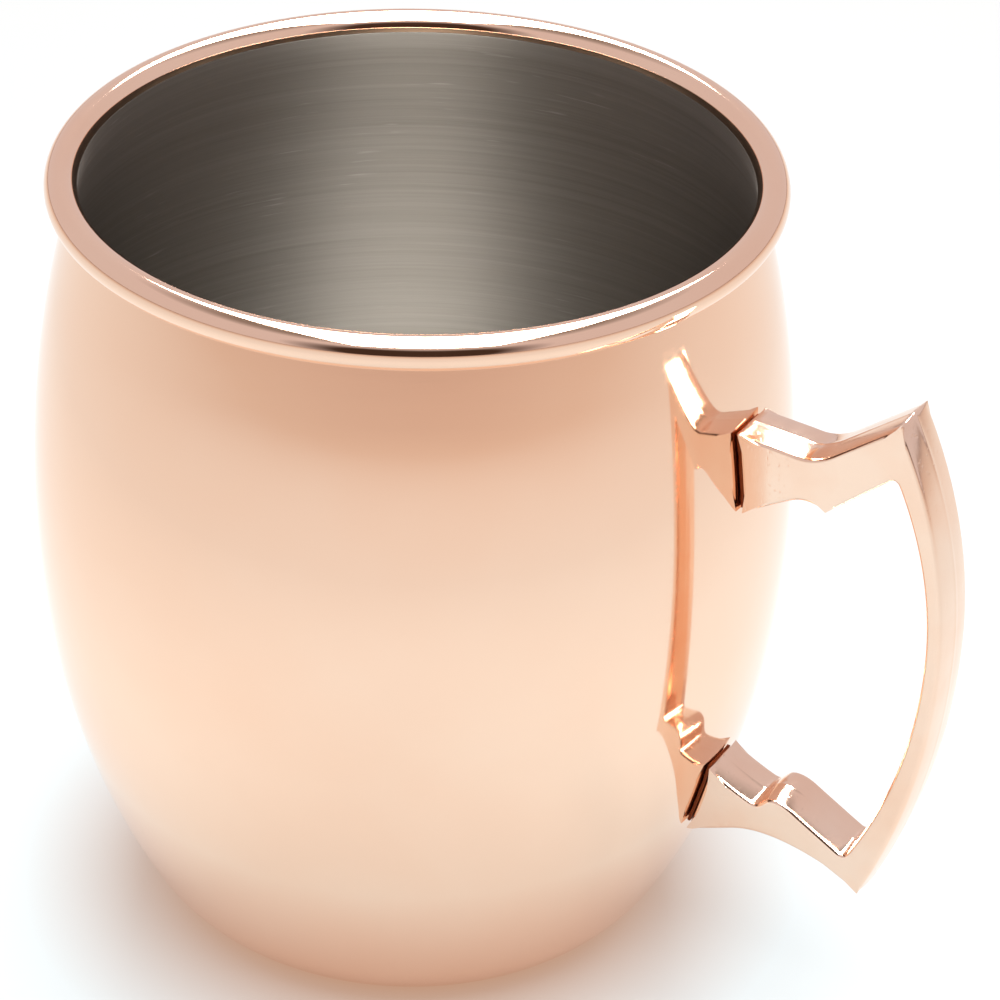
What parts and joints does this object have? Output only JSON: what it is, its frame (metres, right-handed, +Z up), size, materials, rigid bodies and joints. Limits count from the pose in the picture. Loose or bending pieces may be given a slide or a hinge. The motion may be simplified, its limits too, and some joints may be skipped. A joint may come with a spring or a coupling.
{
  "type": "copper mug",
  "caption": "Barrel-shaped copper drinking mug with a rolled lip, a brushed steel lining and an angular strap handle brazed to its side.",
  "frame": {"origin": "centre of the flat standing face, on the mug's axis", "axes": "+Z up along the mug's axis to the mouth, +X from the axis towards the handle, +Y across the handle's flat side"},
  "size_m": [0.117, 0.0912, 0.0998],
  "materials": {
    "polished_copper": "mirror-polished copper, lightly rubbed",
    "brushed_lining": "stainless steel, brushed round the wall",
    "handle_copper": "copper-coloured casting, polished, with a faint parting line",
    "braze": "dark, oxidised braze"
  },
  "bodies": {
    "root": {"copper_shell": "polished_copper", "steel_liner": "brushed_lining", "handle": "handle_copper", "upper_braze": "braze", "lower_braze": "braze"}
  },
  "joints": []
}
